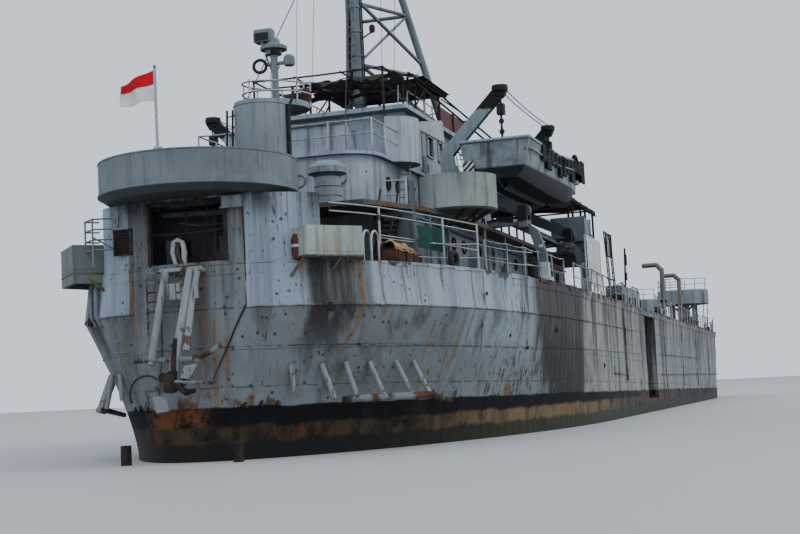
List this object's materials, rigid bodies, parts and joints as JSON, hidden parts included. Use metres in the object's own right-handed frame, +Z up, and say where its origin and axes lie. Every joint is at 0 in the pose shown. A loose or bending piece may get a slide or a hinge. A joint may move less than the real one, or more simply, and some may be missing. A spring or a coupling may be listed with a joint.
{
  "type": "tank landing ship, 1:10 scale model",
  "caption": "Flat-bottomed beaching ship as a 1:10 model: bow doors and ramp, open tank deck, stern gun tub, tripod mast, davits with landing boats.",
  "frame": {"origin": "middle of the length, on the centreline, on the base line under the flat bottom", "axes": "+X towards the bow, +Y to port, +Z up; 1:10 scale, so 1 m here is 10 m of the real ship"},
  "size_m": [10, 1.524, 3],
  "materials": {
    "hull_paint": "pale blue-grey ship paint, chipped, pitted and streaked with rust",
    "bottom_paint": "black boot topping over rust red bottom paint",
    "deck_paint": "worn dark grey deck paint",
    "house_paint": "pale grey paint with rust at the edges",
    "mast_paint": "blue-grey paint, flaking",
    "green_paint": "faded grey-green paint",
    "boat_paint": "pale grey topsides over black",
    "rusty_steel": "rusted steel",
    "dark_steel": "dark rusted castings",
    "bronze": "dull bronze",
    "tarpaulin": "torn dark tarpaulin on a pipe frame",
    "flag_cloth": "small red and white cotton flag"
  },
  "bodies": {
    "root": {"hull_bottom": "bottom_paint", "hull_stern": "hull_paint", "hull_side_starboard": "hull_paint", "hull_side_port": "hull_paint", "hull_bow": "hull_paint", "main_deck": "deck_paint", "skeg_starboard": "rusty_steel", "skeg_port": "rusty_steel", "propeller_guard_starboard": "house_paint", "propeller_guard_port": "house_paint", "stern_house": "house_paint", "stern_winch": "dark_steel", "aft_gun_tub": "house_paint", "aft_screen": "house_paint", "signal_pole": "mast_paint", "quarter_platform_starboard": "house_paint", "quarter_platform_port": "house_paint", "anchor_guide": "house_paint", "stern_anchor": "dark_steel", "main_deckhouse": "house_paint", "boat_deck": "deck_paint", "side_gun_tub_starboard": "green_paint", "side_gun_tub_port": "green_paint", "upper_deckhouse": "house_paint", "bridge_deck": "house_paint", "wheelhouse": "house_paint", "tripod_mast": "mast_paint", "bridge_awning": "tarpaulin", "forward_awning": "tarpaulin", "mushroom_vent": "house_paint", "davit_frame_starboard": "mast_paint", "davit_frame_port": "mast_paint", "vent_pipe_aft_starboard": "house_paint", "vent_pipe_aft_port": "house_paint", "vent_pipe_forward_starboard": "house_paint", "vent_pipe_forward_port": "house_paint", "deck_box_starboard": "house_paint", "deck_box_port": "house_paint", "forward_gun_tub_starboard": "house_paint", "forward_gun_tub_port": "house_paint", "bow_gun_tub": "house_paint", "anchor_windlass": "dark_steel", "flagstaff": "mast_paint", "flag": "flag_cloth"},
    "propeller_starboard": {"propeller_starboard": "bronze"},
    "propeller_port": {"propeller_port": "bronze"},
    "rudder_starboard": {"rudder_starboard": "dark_steel"},
    "rudder_port": {"rudder_port": "dark_steel"},
    "bow_door_starboard": {"bow_door_starboard": "hull_paint"},
    "bow_door_port": {"bow_door_port": "hull_paint"},
    "bow_ramp": {"bow_ramp": "rusty_steel"},
    "davits_starboard": {"davit_arm_aft_starboard": "mast_paint", "davit_arm_forward_starboard": "mast_paint"},
    "davits_port": {"davit_arm_aft_port": "mast_paint", "davit_arm_forward_port": "mast_paint"},
    "boat_starboard": {"landing_boat_starboard": "boat_paint"},
    "boat_port": {"landing_boat_port": "boat_paint"},
    "hatch_cover": {"hatch_cover": "rusty_steel"},
    "radar_aerial": {"radar_aerial": "mast_paint"}
  },
  "joints": [
    {"name": "propeller_starboard_spin", "type": "hinge", "parent": "root", "child": "propeller_starboard", "pos_m": [-4.555, -0.17, 0.108], "axis": [1, 0, 0], "continuous": true},
    {"name": "propeller_port_spin", "type": "hinge", "parent": "root", "child": "propeller_port", "pos_m": [-4.555, 0.17, 0.108], "axis": [1, 0, 0], "continuous": true},
    {"name": "rudder_starboard_turn", "type": "hinge", "parent": "root", "child": "rudder_starboard", "pos_m": [-4.74, -0.17, 0.11], "axis": [0, 0, 1], "range_deg": [-35, 35]},
    {"name": "rudder_port_turn", "type": "hinge", "parent": "root", "child": "rudder_port", "pos_m": [-4.74, 0.17, 0.11], "axis": [0, 0, 1], "range_deg": [-35, 35]},
    {"name": "bow_door_starboard_swing", "type": "hinge", "parent": "root", "child": "bow_door_starboard", "pos_m": [4.5, -0.575, 0.48], "axis": [0, 0, -1], "range_deg": [0, 100]},
    {"name": "bow_door_port_swing", "type": "hinge", "parent": "root", "child": "bow_door_port", "pos_m": [4.5, 0.575, 0.48], "axis": [0, 0, 1], "range_deg": [0, 100]},
    {"name": "bow_ramp_lower", "type": "hinge", "parent": "root", "child": "bow_ramp", "pos_m": [4.462, 0, 0.245], "axis": [0, 1, 0], "range_deg": [0, 100]},
    {"name": "davits_starboard_swing", "type": "hinge", "parent": "root", "child": "davits_starboard", "pos_m": [-2.9, -0.66, 1.035], "axis": [1, 0, 0], "range_deg": [0, 45]},
    {"name": "boat_starboard_level", "type": "hinge", "parent": "davits_starboard", "child": "boat_starboard", "pos_m": [-2.9, -0.592, 1.495], "axis": [-1, 0, 0], "range_deg": [0, 45]},
    {"name": "davits_port_swing", "type": "hinge", "parent": "root", "child": "davits_port", "pos_m": [-2.9, 0.66, 1.035], "axis": [-1, 0, 0], "range_deg": [0, 45]},
    {"name": "boat_port_level", "type": "hinge", "parent": "davits_port", "child": "boat_port", "pos_m": [-2.9, 0.592, 1.495], "axis": [1, 0, 0], "range_deg": [0, 45]},
    {"name": "hatch_cover_lift", "type": "hinge", "parent": "root", "child": "hatch_cover", "pos_m": [1.33, 0, 0.822], "axis": [0, 1, 0], "range_deg": [0, 95]},
    {"name": "radar_aerial_spin", "type": "hinge", "parent": "root", "child": "radar_aerial", "pos_m": [-3.09, 0, 2.52], "axis": [0, 0, 1], "continuous": true}
  ],
  "couplings": [
    {"joint": "rudder_port_turn", "follows": "rudder_starboard_turn", "ratio": 1},
    {"joint": "bow_door_port_swing", "follows": "bow_door_starboard_swing", "ratio": 1},
    {"joint": "bow_ramp_lower", "follows": "bow_door_starboard_swing", "ratio": 1},
    {"joint": "boat_starboard_level", "follows": "davits_starboard_swing", "ratio": 1},
    {"joint": "boat_port_level", "follows": "davits_port_swing", "ratio": 1}
  ]
}
